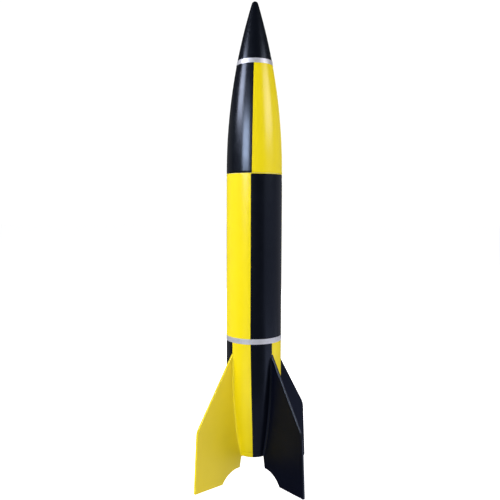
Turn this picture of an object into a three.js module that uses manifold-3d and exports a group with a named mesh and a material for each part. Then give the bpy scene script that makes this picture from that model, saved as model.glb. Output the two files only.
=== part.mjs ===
// Finned model rocket with a blown plastic nose, a paper body tube and a curved tail with four plywood fins.
// Millimetres, +Z along the body towards the nose tip. The origin is on the ground under the body's axis,
// between the fin feet. An azimuth is an angle about Z counted from -Y towards +X.
import * as THREE from "three";
import { mergeVertices } from "three/addons/utils/BufferGeometryUtils.js";
import Module from "manifold-3d";

const wasm = await Module();
wasm.setup();

// Driving dimensions
const GAP = 0.3; // between a piece and the neighbour that it is glued to, pushed into or rests on
const TUBE_RADIUS = 33; // outside of the body tube
const TUBE_WALL = 0.7;
const JOINT_HEIGHT = 366.3; // where the nose meets the body tube
const TAIL_JOINT_HEIGHT = 171; // where the body tube meets the tail, under the tail band

const OGIVE_START = 369; // the nose is straight up to here
const OGIVE_ARC = 666; // radius of the nose's side in section
const TIP_RADIUS = 4;
const NOSE_WALL = 1.5;
const NOSE_BAND = [491.3, 497.9]; // lowest and highest height of the foil band
const TAIL_BAND = [167.4, 174.7];
const BAND_THICKNESS = 0.25;
const BAND_LIFT = 0.1; // from the painted surface to the band's inside

const SHOULDER_RADIUS = 32;
const SHOULDER_LENGTH = 50; // depth that the nose reaches into the tube
const SHOULDER_WALL = 1.3;
const BULKHEAD = 2; // thickness of the shoulder's closed end
const SPIGOT_LENGTH = 12; // of the shoulder, inside the nose
const WEIGHT_BASE = 505; // underside of the weight in the nose tip

const TAIL_END = 28.4; // height of the tail's open end
const TAIL_RING_TOP = 34.9;
const TAIL_CURVE_TOP = 132; // the tail is straight above this height
const TAIL_ARC = 425; // radius of the tail's side in section
const TAIL_RING_WALL = 1.8;
const COUPLER = { radius: 32, wall: 0.9, bottom: 150, top: 196 };

const FIN_AZIMUTHS = { front_left: -45, front_right: 45, rear_right: 135, rear_left: -135 };
const FIN_THICKNESS = 3;
const FIN_ROOT_TOP = 154.5; // where the leading edge leaves the body
const FIN_SHOULDER = { radius: 84.5, height: 72, corner: 5 }; // where the leading edge turns down
const FIN_TIP_RADIUS = 88.4;
const FIN_CUTOUT = { radius: 24, height: -14, arc: 28 }; // circle that rounds off the fin's inner foot
const FIN_HEEL_RADIUS = 22.5; // inner end of the cutout's arc
const FIN_TAB = { bottom: 50, top: 112 }; // part of the fin that passes through the tail to the motor tube

const MOTOR_RADIUS = 12;
const MOTOR_LENGTH = 70;
const MOTOR_BASE = 31;
const MOTOR_WALL = 3.2;
// Heights inside the motor are above its open end.
const NOZZLE = { recess: 0.5, throat: 2, mouth: 5, flare: 7, top: 12 };
const CHARGES = { propellant_grain: [12.3, 49], delay_element: [49.3, 59], ejection_charge: [59.3, 64] };
const END_CAP = [64.3, 67.5];
const MOTOR_TUBE = { inner: 12.3, outer: 13, top: 164 };
const THRUST_RING = { inner: 9.5, height: 5 };
const RING_THICKNESS = 3;
const RINGS = {
  aft: { bottom: 44, radius: 22.6 },
  middle: { bottom: 115.5, radius: 31.6 },
  forward: { bottom: 158, radius: 30.8 },
};
const RETAINER = { inner: 13.3, outer: 15.2, top: 43 };
const CAP = { bottom: 28.9, top: 41, inner: 15.5, outer: 17.2, lip: 1.8, mouth: 9.5 };

const LUG = { inner: 3.4, outer: 4.2, length: 30, lower: 182, upper: 318 }; // for a 6.35 mm launch rod
const EYE = { wire: 1.2, ring: 4.5, hole: 1.5, offset: 22 };
const WASHER = { radius: 4, thickness: 0.8 };
const NUT = { radius: 3.2, height: 2.6 };
const PACK = { radius: 26, bottom: 226, top: 298, corner: 9 };

const SIDES = 40; // flats round a large turned piece
const SMALL_SIDES = 24;
const WIRE_SIDES = 10;

// Materials
function paint(color, roughness, metalness = 0) {
  return new THREE.MeshStandardMaterial({ color, roughness, metalness });
}
const yellowPaint = paint(0xf0dc18, 0.32);
const blackPaint = paint(0x14151c, 0.3);
const foil = paint(0xb4b6bc, 0.35, 0.9);
const card = paint(0xa98a5e, 0.85);
const plywood = paint(0xc9a878, 0.75);
const whitePlastic = paint(0xe4e2dc, 0.45);
const steel = paint(0xa8abb0, 0.35, 1);
const blackPlastic = paint(0x1d1e21, 0.5);
const clay = paint(0x9a938a, 0.9);
const powder = paint(0x2c2b2b, 0.95);
const nylon = paint(0xd8572a, 0.8);

// Shapes
const radians = THREE.MathUtils.degToRad;

// A closed profile of [radius, height] points turned about Z. With the radius to the right it runs
// counter-clockwise.
function turned(profile, sides = SIDES) {
  const points = profile.map(([radius, height]) => new THREE.Vector2(radius, height));
  return new THREE.LatheGeometry(points, sides).rotateX(Math.PI / 2);
}

function ring(inner, outer, bottom, top, sides = SIDES) {
  const corners = [[inner, bottom], [outer, bottom], [outer, top], [inner, top], [inner, bottom]];
  return turned(corners, sides);
}

function plug(radius, bottom, top, sides = SMALL_SIDES) {
  return turned([[0, bottom], [radius, bottom], [radius, top], [0, top]], sides);
}

// A flat round plate with round holes, each { x, y, radius }.
function plate(radius, bottom, thickness, holes, sides = SIDES) {
  const outline = new THREE.Shape().absarc(0, 0, radius, 0, 2 * Math.PI);
  for (const hole of holes) {
    outline.holes.push(new THREE.Path().absarc(hole.x, hole.y, hole.radius, 0, 2 * Math.PI));
  }
  const settings = { depth: thickness, bevelEnabled: false, curveSegments: sides / 2 };
  return new THREE.ExtrudeGeometry(outline, settings).translate(0, 0, bottom);
}

function toSolid(geometry) {
  const bare = geometry.clone();
  bare.deleteAttribute("normal");
  bare.deleteAttribute("uv");
  const merged = mergeVertices(bare, 1e-3);
  const vertProperties = new Float32Array(merged.attributes.position.array);
  const triVerts = new Uint32Array(merged.index.array);
  return new wasm.Manifold(new wasm.Mesh({ numProp: 3, vertProperties, triVerts }));
}

function toGeometry(solid) {
  const { vertProperties, triVerts } = solid.getMesh();
  const geometry = new THREE.BufferGeometry();
  geometry.setAttribute("position", new THREE.BufferAttribute(vertProperties, 3));
  geometry.setIndex(new THREE.BufferAttribute(triVerts, 1));
  geometry.computeVertexNormals();
  return geometry;
}

function joined(first, second) {
  return toGeometry(toSolid(first).add(toSolid(second)));
}

function piece(name, geometry, material) {
  const mesh = new THREE.Mesh(geometry, material);
  mesh.name = name;
  return mesh;
}

function assembly(...children) {
  return new THREE.Group().add(...children);
}

// The nose's outline, drawn in by an offset: an ogive arc from the given height that runs into the
// round tip.
function noseOutline(offset, fromHeight, steps) {
  const tipCentre = OGIVE_START + Math.sqrt((OGIVE_ARC - TIP_RADIUS) ** 2 - (OGIVE_ARC - TUBE_RADIUS) ** 2);
  const tipAngle = Math.atan2(tipCentre - OGIVE_START, OGIVE_ARC - TUBE_RADIUS);
  const arc = OGIVE_ARC - offset;
  const firstAngle = Math.asin((fromHeight - OGIVE_START) / arc);
  const points = [];
  for (let i = 0; i <= steps; i++) {
    const angle = firstAngle + ((tipAngle - firstAngle) * i) / steps;
    points.push([TUBE_RADIUS - OGIVE_ARC + arc * Math.cos(angle), OGIVE_START + arc * Math.sin(angle)]);
  }
  const tipSteps = 4;
  const tip = TIP_RADIUS - offset;
  for (let i = 1; i <= tipSteps; i++) {
    const angle = tipAngle + ((Math.PI / 2 - tipAngle) * i) / tipSteps;
    const radius = i === tipSteps ? 0 : tip * Math.cos(angle);
    points.push([radius, tipCentre + tip * Math.sin(angle)]);
  }
  return points;
}

function noseRadius(height) {
  return TUBE_RADIUS - OGIVE_ARC + Math.sqrt(OGIVE_ARC ** 2 - (height - OGIVE_START) ** 2);
}

function tailRadius(height) {
  const below = Math.max(TAIL_CURVE_TOP - height, 0);
  return TUBE_RADIUS - TAIL_ARC + Math.sqrt(TAIL_ARC ** 2 - below ** 2);
}

// Points down the tail's curve between two heights, moved out by an offset.
function tailOutline(top, bottom, offset, steps) {
  const points = [];
  for (let i = 0; i <= steps; i++) {
    const height = top + ((bottom - top) * i) / steps;
    points.push([tailRadius(height) + offset, height]);
  }
  return points;
}

// Nose
function noseCone() {
  const base = JOINT_HEIGHT + GAP / 2;
  const outside = [[TUBE_RADIUS, base], ...noseOutline(0, OGIVE_START, 10)];
  const inside = [[TUBE_RADIUS - NOSE_WALL, base], ...noseOutline(NOSE_WALL, OGIVE_START, 8)];
  return turned([...outside, ...inside.reverse(), outside[0]]);
}

function noseShoulder() {
  const bottom = JOINT_HEIGHT - SHOULDER_LENGTH;
  const step = JOINT_HEIGHT - GAP / 2;
  const top = JOINT_HEIGHT + SPIGOT_LENGTH;
  const spigot = TUBE_RADIUS - NOSE_WALL - GAP;
  const cup = turned([
    [0, bottom], [SHOULDER_RADIUS, bottom], [SHOULDER_RADIUS, step], [spigot, step], [spigot, top],
    [spigot - SHOULDER_WALL, top], [spigot - SHOULDER_WALL, bottom + BULKHEAD], [0, bottom + BULKHEAD],
  ]);
  const hole = plug(EYE.hole, bottom - 1, bottom + BULKHEAD + 1);
  return toGeometry(toSolid(cup).subtract(toSolid(hole)));
}

function noseWeight() {
  const surface = noseOutline(NOSE_WALL + GAP, WEIGHT_BASE, 5);
  return turned([[0, WEIGHT_BASE], ...surface]);
}

function noseBand() {
  const [bottom, top] = NOSE_BAND;
  const inner = BAND_LIFT;
  const outer = BAND_LIFT + BAND_THICKNESS;
  return turned([
    [noseRadius(bottom) + inner, bottom], [noseRadius(bottom) + outer, bottom],
    [noseRadius(top) + outer, top], [noseRadius(top) + inner, top], [noseRadius(bottom) + inner, bottom],
  ]);
}

// A hexagonal nut with a plain round hole, its underside at the given height.
function nut(bottom) {
  const corners = [];
  for (let i = 0; i < 6; i++) {
    const angle = (i * Math.PI) / 3;
    corners.push(new THREE.Vector2(NUT.radius * Math.cos(angle), NUT.radius * Math.sin(angle)));
  }
  const hexagon = new THREE.Shape(corners);
  hexagon.holes.push(new THREE.Path().absarc(0, 0, EYE.hole, 0, 2 * Math.PI));
  const settings = { depth: NUT.height, bevelEnabled: false, curveSegments: SMALL_SIDES / 2 };
  return new THREE.ExtrudeGeometry(hexagon, settings).translate(0, 0, bottom);
}

// An eye bolt whose ring hangs below z = 0 and whose shank runs up through a plate of the given
// thickness, with its washer and nut on the far side of that plate.
function eyeBolt(prefix, plateThickness) {
  const eyeDepth = EYE.ring + EYE.wire + GAP;
  const washerBottom = plateThickness + GAP;
  const washerTop = washerBottom + WASHER.thickness;
  const nutBottom = washerTop + GAP;
  const eye = new THREE.TorusGeometry(EYE.ring, EYE.wire, WIRE_SIDES, SMALL_SIDES);
  eye.rotateX(Math.PI / 2).translate(0, 0, -eyeDepth);
  const shank = plug(EYE.wire, EYE.ring - eyeDepth, nutBottom + NUT.height + EYE.wire, WIRE_SIDES);
  const washer = ring(EYE.hole, WASHER.radius, washerBottom, washerTop, SMALL_SIDES);
  return assembly(
    piece(`${prefix}_eye_bolt`, joined(eye, shank), steel),
    piece(`${prefix}_eye_washer`, washer, steel),
    piece(`${prefix}_eye_nut`, nut(nutBottom), steel),
  );
}

function noseSection() {
  const eye = eyeBolt("nose", BULKHEAD);
  eye.position.z = JOINT_HEIGHT - SHOULDER_LENGTH;
  return assembly(
    piece("nose_cone", noseCone(), yellowPaint),
    piece("nose_shoulder", noseShoulder(), whitePlastic),
    piece("nose_weight", noseWeight(), clay),
    piece("nose_band", noseBand(), foil),
    eye,
  );
}

// Body and tail
function tailBand() {
  const inner = TUBE_RADIUS + BAND_LIFT;
  return ring(inner, inner + BAND_THICKNESS, ...TAIL_BAND);
}

// The tail's shell, with a slot for each fin's tab, as a solid.
function boattail() {
  const top = TAIL_JOINT_HEIGHT - GAP / 2;
  const bottom = TAIL_RING_TOP + GAP / 2;
  const steps = 9;
  const outside = [[TUBE_RADIUS, top], ...tailOutline(TAIL_CURVE_TOP, bottom, 0, steps)];
  const inside = [[TUBE_RADIUS - TUBE_WALL, top], ...tailOutline(TAIL_CURVE_TOP, bottom, -TUBE_WALL, steps)];
  const shell = turned([...inside, ...outside.reverse(), inside[0]]);
  const slotHeight = FIN_TAB.top - FIN_TAB.bottom + 2 * GAP;
  const slotLength = TUBE_RADIUS;
  const slot = new THREE.BoxGeometry(slotLength, FIN_THICKNESS + 2 * GAP, slotHeight);
  slot.translate(TUBE_RADIUS - TUBE_WALL, 0, (FIN_TAB.top + FIN_TAB.bottom) / 2);
  return Object.values(FIN_AZIMUTHS).reduce(
    (solid, azimuth) => solid.subtract(toSolid(slot.clone().rotateZ(radians(azimuth - 90)))),
    toSolid(shell),
  );
}

function tailRing() {
  const outside = tailOutline(TAIL_RING_TOP - GAP / 2, TAIL_END, 0, 1);
  const inside = outside.map(([radius, height]) => [radius - TAIL_RING_WALL, height]);
  return turned([...inside, ...outside.reverse(), inside[0]]);
}

// A fin drawn with the radius along x and the height along y: the leading edge with its rounded
// shoulder, the straight foot, the cutout's arc, the heel beside the tail's end, and the root with its tab.
function finOutline() {
  const { radius, height, corner } = FIN_SHOULDER;
  const outline = new THREE.Shape();
  const start = new THREE.Vector2(tailRadius(FIN_ROOT_TOP) + GAP, FIN_ROOT_TOP);
  const shoulder = new THREE.Vector2(radius, height);
  const foot = new THREE.Vector2(FIN_TIP_RADIUS, 0);
  const before = start.clone().sub(shoulder).setLength(corner).add(shoulder);
  const after = foot.clone().sub(shoulder).setLength(corner).add(shoulder);
  outline.moveTo(start.x, start.y);
  outline.lineTo(before.x, before.y);
  outline.quadraticCurveTo(shoulder.x, shoulder.y, after.x, after.y);
  outline.lineTo(foot.x, foot.y);
  const arcStart = Math.asin(-FIN_CUTOUT.height / FIN_CUTOUT.arc);
  const arcEnd = Math.acos((FIN_HEEL_RADIUS - FIN_CUTOUT.radius) / FIN_CUTOUT.arc);
  outline.absarc(FIN_CUTOUT.radius, FIN_CUTOUT.height, FIN_CUTOUT.arc, arcStart, arcEnd);
  for (const [x, y] of tailOutline(TAIL_END, FIN_TAB.bottom, GAP, 3)) outline.lineTo(x, y);
  outline.lineTo(MOTOR_TUBE.outer + GAP, FIN_TAB.bottom);
  outline.lineTo(MOTOR_TUBE.outer + GAP, FIN_TAB.top);
  for (const [x, y] of tailOutline(FIN_TAB.top, TAIL_CURVE_TOP, GAP, 2)) outline.lineTo(x, y);
  return outline;
}

function fin(name, azimuth, material) {
  const settings = { depth: FIN_THICKNESS, bevelEnabled: false, curveSegments: 8 };
  const blade = new THREE.ExtrudeGeometry(finOutline(), settings);
  blade.translate(0, 0, -FIN_THICKNESS / 2).rotateX(Math.PI / 2);
  const mesh = piece(name, blade, material);
  mesh.rotation.z = radians(azimuth - 90);
  return mesh;
}

function launchLug(name, bottom) {
  const mesh = piece(name, ring(LUG.inner, LUG.outer, 0, LUG.length, SMALL_SIDES), card);
  mesh.position.set(0, TUBE_RADIUS + GAP + LUG.outer, bottom);
  return mesh;
}

// Motor mount, inside the tail
function mountRing(name, extraHoles = []) {
  const { bottom, radius } = RINGS[name];
  const centre = { x: 0, y: 0, radius: RETAINER.inner };
  const disc = plate(radius, bottom, RING_THICKNESS, [centre, ...extraHoles]);
  return piece(`${name}_centering_ring`, disc, plywood);
}

function motorMount() {
  const { inner, outer, top } = MOTOR_TUBE;
  const ringBottom = MOTOR_BASE + MOTOR_LENGTH + GAP;
  const anchorHole = { x: 0, y: EYE.offset, radius: EYE.hole };
  const anchor = eyeBolt("anchor", RING_THICKNESS);
  anchor.rotation.x = Math.PI;
  anchor.position.set(0, EYE.offset, RINGS.forward.bottom + RING_THICKNESS);
  const ringTop = ringBottom + THRUST_RING.height;
  const thrust = ring(THRUST_RING.inner, MOTOR_RADIUS, ringBottom, ringTop, SMALL_SIDES);
  return assembly(
    piece("motor_tube", ring(inner, outer, MOTOR_BASE, top), card),
    piece("thrust_ring", thrust, card),
    mountRing("aft"),
    mountRing("middle"),
    mountRing("forward", [anchorHole]),
    piece("retainer_base", ring(RETAINER.inner, RETAINER.outer, MOTOR_BASE, RETAINER.top), blackPlastic),
    anchor,
  );
}

// A cap with a skirt round the retainer's base and a lip that the motor stands on.
function retainerCap() {
  const { bottom, top, inner, outer, lip, mouth } = CAP;
  return turned([
    [mouth, bottom], [outer, bottom], [outer, top], [inner, top], [inner, bottom + lip],
    [mouth, bottom + lip], [mouth, bottom],
  ]);
}

// Motor
// The clay nozzle: a throat that widens to the motor's open end.
function nozzle(radius) {
  const { recess, throat, mouth, flare, top } = NOZZLE;
  const corners = [
    [mouth, recess], [radius, recess], [radius, top], [throat, top], [throat, flare], [mouth, recess],
  ];
  return turned(corners, SMALL_SIDES);
}

function motor() {
  const bore = MOTOR_RADIUS - MOTOR_WALL;
  const fill = bore - GAP;
  const whole = assembly(
    piece("motor_case", ring(bore, MOTOR_RADIUS, 0, MOTOR_LENGTH, SMALL_SIDES), card),
    piece("motor_nozzle", nozzle(fill), clay),
    ...Object.entries(CHARGES).map(([name, [bottom, top]]) => piece(name, plug(fill, bottom, top), powder)),
    piece("motor_end_cap", plug(fill, ...END_CAP), clay),
  );
  whole.position.z = MOTOR_BASE;
  return whole;
}

// The folded parachute, a soft roll in the body tube.
function parachutePack() {
  const { radius, bottom, top, corner } = PACK;
  const profile = [[0, bottom]];
  const steps = 4;
  for (const [centreHeight, firstAngle] of [[bottom + corner, -Math.PI / 2], [top - corner, 0]]) {
    for (let i = 0; i <= steps; i++) {
      const angle = firstAngle + ((Math.PI / 2) * i) / steps;
      profile.push([radius - corner + corner * Math.cos(angle), centreHeight + corner * Math.sin(angle)]);
    }
  }
  profile.push([0, top]);
  return turned(profile, SMALL_SIDES);
}

function bodyTube() {
  return ring(TUBE_RADIUS - TUBE_WALL, TUBE_RADIUS, TAIL_JOINT_HEIGHT + GAP / 2, JOINT_HEIGHT - GAP / 2);
}

function tailCoupler() {
  return ring(COUPLER.radius - COUPLER.wall, COUPLER.radius, COUPLER.bottom, COUPLER.top);
}

const airframe = assembly(
  piece("body_tube", bodyTube(), yellowPaint),
  piece("tail_coupler", tailCoupler(), card),
  piece("tail_band", tailBand(), foil),
  piece("boattail", toGeometry(boattail()), yellowPaint),
  piece("tail_ring", tailRing(), yellowPaint),
  ...Object.entries(FIN_AZIMUTHS).map(([side, azimuth]) =>
    fin(`fin_${side}`, azimuth, side.endsWith("left") ? yellowPaint : blackPaint)),
  launchLug("launch_lug_lower", LUG.lower),
  launchLug("launch_lug_upper", LUG.upper),
  motorMount(),
);

const rocket = assembly(
  noseSection(),
  airframe,
  piece("parachute_pack", parachutePack(), nylon),
  piece("retainer_cap", retainerCap(), blackPlastic),
  motor(),
);

export default rocket;
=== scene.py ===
import math

import bmesh
import bpy
from mathutils import Matrix, Vector, noise


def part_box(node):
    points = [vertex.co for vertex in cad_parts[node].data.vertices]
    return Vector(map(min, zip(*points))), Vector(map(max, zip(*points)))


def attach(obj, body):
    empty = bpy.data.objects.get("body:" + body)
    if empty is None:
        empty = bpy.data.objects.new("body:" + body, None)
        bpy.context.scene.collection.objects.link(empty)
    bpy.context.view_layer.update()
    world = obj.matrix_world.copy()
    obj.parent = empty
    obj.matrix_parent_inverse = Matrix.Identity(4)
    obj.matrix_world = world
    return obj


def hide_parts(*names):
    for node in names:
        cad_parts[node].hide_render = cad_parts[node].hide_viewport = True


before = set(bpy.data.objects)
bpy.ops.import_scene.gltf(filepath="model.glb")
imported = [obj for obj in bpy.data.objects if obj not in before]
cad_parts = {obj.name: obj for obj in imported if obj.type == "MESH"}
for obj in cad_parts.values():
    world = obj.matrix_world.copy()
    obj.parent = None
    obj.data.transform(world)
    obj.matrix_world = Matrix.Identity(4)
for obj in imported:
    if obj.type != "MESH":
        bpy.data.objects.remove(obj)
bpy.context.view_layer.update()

# A model rocket, 567 mm tall. Shapes are worked out in millimetres and go into Blender in metres.
# An azimuth is an angle in degrees about Z, from -Y towards +X.
MM = 0.001


def heights(node):
    """The lowest and highest height of a CAD node, in millimetres."""
    low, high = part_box(node)
    return low.z / MM, high.z / MM


def reach(node):
    """The largest radius of a turned CAD node that stands on the axis, in millimetres."""
    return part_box(node)[1].x / MM


# Driving dimensions, in millimetres
TUBE_RADIUS = reach("body_tube")
TUBE_WALL = 0.7
TUBE_BOTTOM, TUBE_TOP = heights("body_tube")
NOSE_BOTTOM = heights("nose_cone")[0]
OGIVE_START = 369.0
OGIVE_ARC = 666.0
TIP_RADIUS = 4.0
NOSE_WALL = 1.5
NOSE_BAND = heights("nose_band")
BAND_THICKNESS = 0.25
BAND_LIFT = 0.04  # under a foil strip
TAIL_BOTTOM, TAIL_TOP = heights("boattail")
TAIL_RING = heights("tail_ring")
TAIL_CURVE_TOP = 132.0
TAIL_ARC = 425.0
TAIL_RING_WALL = 1.8
CARD_EDGE = (0.35, 0.1)  # how far a painted edge is rounded in, and where its corner passes

FIN_AZIMUTHS = {"front_left": -45.0, "front_right": 45.0, "rear_right": 135.0, "rear_left": -135.0}
FIN_THICKNESS = 3.0
FIN_ROOT_TOP = 154.5
FIN_SHOULDER = (84.5, 72.0)
FIN_SHOULDER_ROUND = 5.1  # along each edge from the corner
FIN_TIP_RADIUS = 88.4
FIN_CUTOUT_CENTRE = (24.0, -14.0)
FIN_CUTOUT_ARC = 28.0
FIN_HEEL_RADIUS = 22.5
FIN_TAB = (50.0, 112.0)
MOUNT_BORE = 13.3  # the fins' tabs, the plywood rings and the retainer stop just clear of the motor tube
FIN_EDGE_ROUND = 0.75
SLOT_GAP = 0.3  # between a fin's tab and its slot
SLOT_HALF = FIN_THICKNESS / 2 + SLOT_GAP
BEAD_RADIUS = 2.2  # of the fillets and the lugs' glue
BEAD_SINK = 0.06  # a bead's edges go this far into what it joins
LIFT_OFF = 0.1  # between two surfaces that would otherwise be one
SIDES = ((-1, "left"), (1, "right"))

# Paint
NOSE_LINE = -0.5  # azimuth of the nose's front paint line where the nose meets the tube
NOSE_LEAN = 2.4  # how far round it has drifted at the nose's band
TUBE_LINE = -2.4  # of the tube's
TAIL_LINE = -2.1  # of the tail's, at its top
TAIL_LEAN = 4.6  # how far round it has drifted at the bottom
SPILL = 0.7  # the nose's yellow runs this far onto the tube's top
FOIL_TRIM = (0.8, 0.35)  # bare rim left below and above each foil strip

# How fine the meshes are
COLUMNS = 128
STEP = 3.0  # longest step along a curved side, in millimetres


# --- shapes
def nose_radius(height, offset=0.0):
    """Outside radius of the nose's side at a height, drawn in by offset."""
    rise = max(height - OGIVE_START, 0.0)
    return TUBE_RADIUS - OGIVE_ARC + math.sqrt((OGIVE_ARC - offset) ** 2 - rise**2)


TIP_CENTRE = OGIVE_START + math.sqrt((OGIVE_ARC - TIP_RADIUS) ** 2 - (OGIVE_ARC - TUBE_RADIUS) ** 2)
TIP_ANGLE = math.atan2(TIP_CENTRE - OGIVE_START, OGIVE_ARC - TUBE_RADIUS)


def tail_radius(height):
    """Outside radius of the tail at a height."""
    fall = max(TAIL_CURVE_TOP - height, 0.0)
    return TUBE_RADIUS - TAIL_ARC + math.sqrt(TAIL_ARC**2 - fall**2)


def stations(*breaks, step=STEP):
    """Heights from the first break to the last, by way of the others, no more than step apart."""
    found = [breaks[0]]
    for low, high in zip(breaks, breaks[1:]):
        count = max(1, math.ceil(abs(high - low) / step))
        found += [low + (high - low) * i / count for i in range(1, count + 1)]
    return found


def nose_outline(offset, *breaks):
    """The nose's side from the first break up to the axis, drawn in by offset."""
    ball = TIP_RADIUS - offset
    joint = TIP_CENTRE + ball * math.sin(TIP_ANGLE)
    side = [(nose_radius(z, offset), z) for z in stations(*breaks, joint)]
    tip_steps = 9
    for i in range(1, tip_steps):
        angle = TIP_ANGLE + (math.pi / 2 - TIP_ANGLE) * i / tip_steps
        side.append((ball * math.cos(angle), TIP_CENTRE + ball * math.sin(angle)))
    return side + [(0.0, TIP_CENTRE + ball)]


def bend(start, corner, end, steps):
    """Points along a curve from start to end that leaves and arrives along the lines through corner."""
    shares = [k / steps for k in range(steps + 1)]
    return [start * (1 - t) ** 2 + corner * 2 * t * (1 - t) + end * t**2 for t in shares]


def rounded(corners, radius, steps=3):
    """A closed outline with its corners rounded off. A corner on the axis stays sharp."""
    outline = []
    for i, corner in enumerate(corners):
        here = Vector(corner)
        before = Vector(corners[i - 1]) - here
        after = Vector(corners[(i + 1) % len(corners)]) - here
        if here.x == 0:
            outline.append(tuple(here))
            continue
        turn = before.angle(after)
        back = min(radius / math.tan(turn / 2), 0.45 * before.length, 0.45 * after.length)
        start, end = here + before.normalized() * back, here + after.normalized() * back
        outline += [tuple(place) for place in bend(start, here, end, steps)]
    return outline


def point(azimuth, radius, height):
    """A place in metres from an azimuth in degrees, a radius and a height in millimetres."""
    angle = math.radians(azimuth)
    return Vector((radius * math.sin(angle), -radius * math.cos(angle), height)) * MM


def even_columns(count=COLUMNS, start=0.0):
    return [start + 360.0 * i / count for i in range(count)]


def turned(stretches, columns=COLUMNS, paint=None, shape=None, drift=None, closed=True):
    """A solid of revolution. stretches is [(label, [(radius, height), ...]), ...] round the outline.

    columns says how many columns of faces go round it, or at which azimuths they start.
    paint(label, azimuth, height) gives a face's material index, shape(label, azimuth, radius, height)
    gives a point's own radius and height, and drift(azimuth, height) turns a point by so many degrees.
    An open outline starts and ends on the axis. No face joins two points in a row on the axis, so a
    closed outline may cross from an outside to an inside there.
    """
    if isinstance(columns, int):
        columns = even_columns(columns)
    labels, rings = [], []
    bm = bmesh.new()
    for label, outline in stretches:
        for radius, height in outline:
            labels.append(label)
            if radius == 0:
                rings.append([bm.verts.new(point(0, 0, height))])
                continue
            row = []
            for azimuth in columns:
                own = shape(label, azimuth, radius, height) if shape else (radius, height)
                turn = drift(azimuth, height) if drift else 0.0
                row.append(bm.verts.new(point(azimuth + turn, *own)))
            rings.append(row)
    last = len(rings) if closed else len(rings) - 1
    for i in range(last):
        low, high = rings[i], rings[(i + 1) % len(rings)]
        if len(low) == len(high) == 1:
            continue
        middle = (low[0].co.z + high[0].co.z) / 2 / MM
        for k in range(len(columns)):
            n = (k + 1) % len(columns)
            corners = [low[k % len(low)], low[n % len(low)], high[n % len(high)], high[k % len(high)]]
            face = bm.faces.new(list(dict.fromkeys(corners)))
            if paint:
                ahead = columns[n] + (360 if n == 0 else 0)
                face.material_index = paint(labels[i], (columns[k] + ahead) / 2, middle)
    return bm


def lofted(sections):
    """A solid through closed sections with the same number of points, in metres, with flat ends."""
    bm = bmesh.new()
    rows = [[bm.verts.new(place) for place in section] for section in sections]
    count = len(rows[0])
    for low, high in zip(rows, rows[1:]):
        for k in range(count):
            n = (k + 1) % count
            bm.faces.new((low[k], low[n], high[n], high[k]))
    bm.faces.new(rows[0][::-1])
    bm.faces.new(rows[-1])
    return bm


def swept(points, radius, sides=16):
    """A round bar along points in metres; radius(i, angle) is in millimetres."""
    sections = []
    side = (points[1] - points[0]).normalized().orthogonal()
    for i, here in enumerate(points):
        along = (points[min(i + 1, len(points) - 1)] - points[max(i - 1, 0)]).normalized()
        side = (side - along * side.dot(along)).normalized()
        other = along.cross(side)
        section = []
        for k in range(sides):
            angle = 2 * math.pi * k / sides
            r = radius(i, angle) * MM
            section.append(here + side * r * math.cos(angle) + other * r * math.sin(angle))
        sections.append(section)
    return lofted(sections)


def bead_arc(centre, radius, start, end, steps):
    """The hollow front of a bead in plan, from one angle to another about centre."""
    arc = []
    for k in range(steps + 1):
        angle = start + (end - start) * k / steps
        distance = radius + (BEAD_SINK if k in (0, steps) else 0.0)
        arc.append(centre + Vector((math.cos(angle), math.sin(angle))) * distance)
    return arc


def girth(node):
    """The radius, bottom and top of a turned CAD node that stands on the axis, in millimetres."""
    return reach(node), *heights(node)


def wall_corners(inner, outer, bottom, top):
    return [(inner, bottom), (outer, bottom), (outer, top), (inner, top)]


def placed(name, data):
    """A new object in the scene that shows a mesh, a light or a camera."""
    thing = bpy.data.objects.new(name, data)
    bpy.context.scene.collection.objects.link(thing)
    return thing


def meshed(name, bm):
    mesh = bpy.data.meshes.new(name)
    bm.to_mesh(mesh)
    bm.free()
    return mesh


def moved_to(bm, centre):
    """Shifts a shape made about the axis so that it stands round centre, in millimetres."""
    bmesh.ops.translate(bm, verts=bm.verts, vec=Vector((centre.x, centre.y, 0.0)) * MM)
    return bm


def upright(node):
    """The centre, radius, bottom and top of a round CAD node that stands off the axis, in millimetres."""
    low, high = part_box(node)
    return (low + high) / 2 / MM, (high.x - low.x) / 2 / MM, low.z / MM, high.z / MM


def add_piece(name, bm, materials, body, replaced=(), sharp=35.0, weighted=False):
    """Makes the piece, gives it its materials, ties it to its body and hides the CAD nodes it replaces."""
    bmesh.ops.recalc_face_normals(bm, faces=bm.faces)
    mesh = meshed(name, bm)
    mesh.polygons.foreach_set("use_smooth", [True] * len(mesh.polygons))
    mesh.set_sharp_from_angle(angle=math.radians(sharp))
    for material in materials:
        mesh.materials.append(material)
    piece = placed(name, mesh)
    if weighted:
        modifier = piece.modifiers.new("even shading", "WEIGHTED_NORMAL")
        modifier.keep_sharp = True
    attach(piece, body)
    if replaced:
        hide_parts(*replaced)
    return piece


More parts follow.
